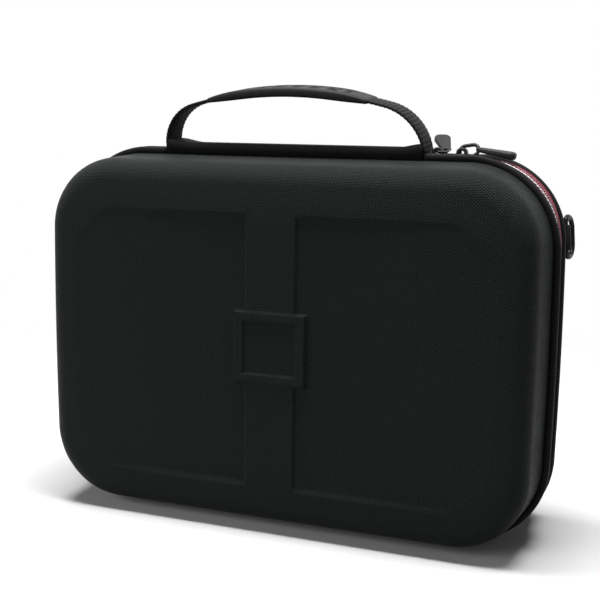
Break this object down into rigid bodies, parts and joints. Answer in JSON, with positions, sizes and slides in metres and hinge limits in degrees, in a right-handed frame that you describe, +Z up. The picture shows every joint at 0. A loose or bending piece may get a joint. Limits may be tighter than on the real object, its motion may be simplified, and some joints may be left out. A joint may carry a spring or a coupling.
{
  "type": "portable game console case",
  "caption": "Zip-round hard case with two moulded half shells, a cloth spine hinge, a webbing carry handle with a grip, and rings for a shoulder strap.",
  "frame": {"origin": "centre of the footprint on the floor, on the zip's parting plane, with the case standing on its flange", "axes": "+X along the width, +Y from the lid to the back, +Z up to the handle"},
  "size_m": [0.3306, 0.108, 0.2734],
  "materials": {
    "shell_cloth": "matte",
    "piping": "satin",
    "zip_tape": "matte",
    "zip_coil": "satin",
    "spine_cloth": "matte",
    "webbing": "matte",
    "grip_rubber": "satin",
    "slider_metal": "gloss",
    "tab_rubber": "satin",
    "ring_metal": "gloss",
    "lining": "matte",
    "mesh": "matte",
    "elastic": "matte"
  },
  "bodies": {
    "base": {"rear_shell": "shell_cloth", "rear_binding": "piping", "zip_tape_rear": "zip_tape", "zip_coil_rear": "zip_coil", "hinge_spine": "spine_cloth", "ring_loop_left": "webbing", "ring_loop_right": "webbing", "console_tray": "lining"},
    "lid": {"front_shell": "shell_cloth", "front_binding": "piping", "zip_tape_front": "zip_tape", "zip_coil_front": "zip_coil", "lid_pad": "lining", "lid_pocket": "mesh", "pocket_edge": "elastic"},
    "carry_handle": {"handle_strap": "webbing", "handle_grip": "grip_rubber"},
    "slider_inner": {"slider_inner": "slider_metal"},
    "slider_outer": {"slider_outer": "slider_metal"},
    "link_inner": {"pull_link_inner": "slider_metal"},
    "link_outer": {"pull_link_outer": "slider_metal"},
    "tab_inner": {"pull_tab_inner": "tab_rubber"},
    "tab_outer": {"pull_tab_outer": "tab_rubber"},
    "ring_left": {"d_ring_left": "ring_metal"},
    "ring_right": {"d_ring_right": "ring_metal"}
  },
  "joints": [
    {"name": "lid_hinge", "type": "hinge", "parent": "base", "child": "lid", "pos_m": [0, 0, 0.241], "axis": [-1, 0, 0], "range_deg": [0, 100], "deforming": ["hinge_spine", "handle_strap"]},
    {"name": "handle_lean", "type": "hinge", "parent": "base", "child": "carry_handle", "pos_m": [0, 0, 0.241], "axis": [-1, 0, 0], "range_deg": [0, 50]},
    {"name": "inner_slider_run", "type": "slide", "parent": "base", "child": "slider_inner", "axis": [1, 0, 0], "range_m": [0, 0.002]},
    {"name": "outer_slider_run", "type": "slide", "parent": "base", "child": "slider_outer", "axis": [1, 0, 0], "range_m": [0, 0.006]},
    {"name": "inner_link_swing", "type": "hinge", "parent": "slider_inner", "child": "link_inner", "pos_m": [0.08597, 0, 0.2354], "axis": [0, -0.9877, -0.1564], "range_deg": [0, 45]},
    {"name": "outer_link_swing", "type": "hinge", "parent": "slider_outer", "child": "link_outer", "pos_m": [0.10047, 0, 0.2354], "axis": [0, -1, 0], "range_deg": [0, 45]},
    {"name": "inner_tab_swing", "type": "hinge", "parent": "link_inner", "child": "tab_inner", "pos_m": [0.08877, 0.00741, 0.23657], "axis": [1, 0, 0], "range_deg": [0, 30]},
    {"name": "outer_tab_swing", "type": "hinge", "parent": "link_outer", "child": "tab_outer", "pos_m": [0.11015, 0, 0.23693], "axis": [0, -1, 0], "range_deg": [0, 20]},
    {"name": "ring_right_swing", "type": "hinge", "parent": "base", "child": "ring_right", "pos_m": [0.16122, 0.0155, 0.186], "axis": [0.0785, 0, -0.9969], "range_deg": [0, 100]},
    {"name": "ring_left_swing", "type": "hinge", "parent": "base", "child": "ring_left", "pos_m": [-0.16122, 0.0155, 0.186], "axis": [0.0785, 0, 0.9969], "range_deg": [0, 100]}
  ],
  "couplings": [
    {"joint": "handle_lean", "follows": "lid_hinge", "ratio": 0.5}
  ]
}
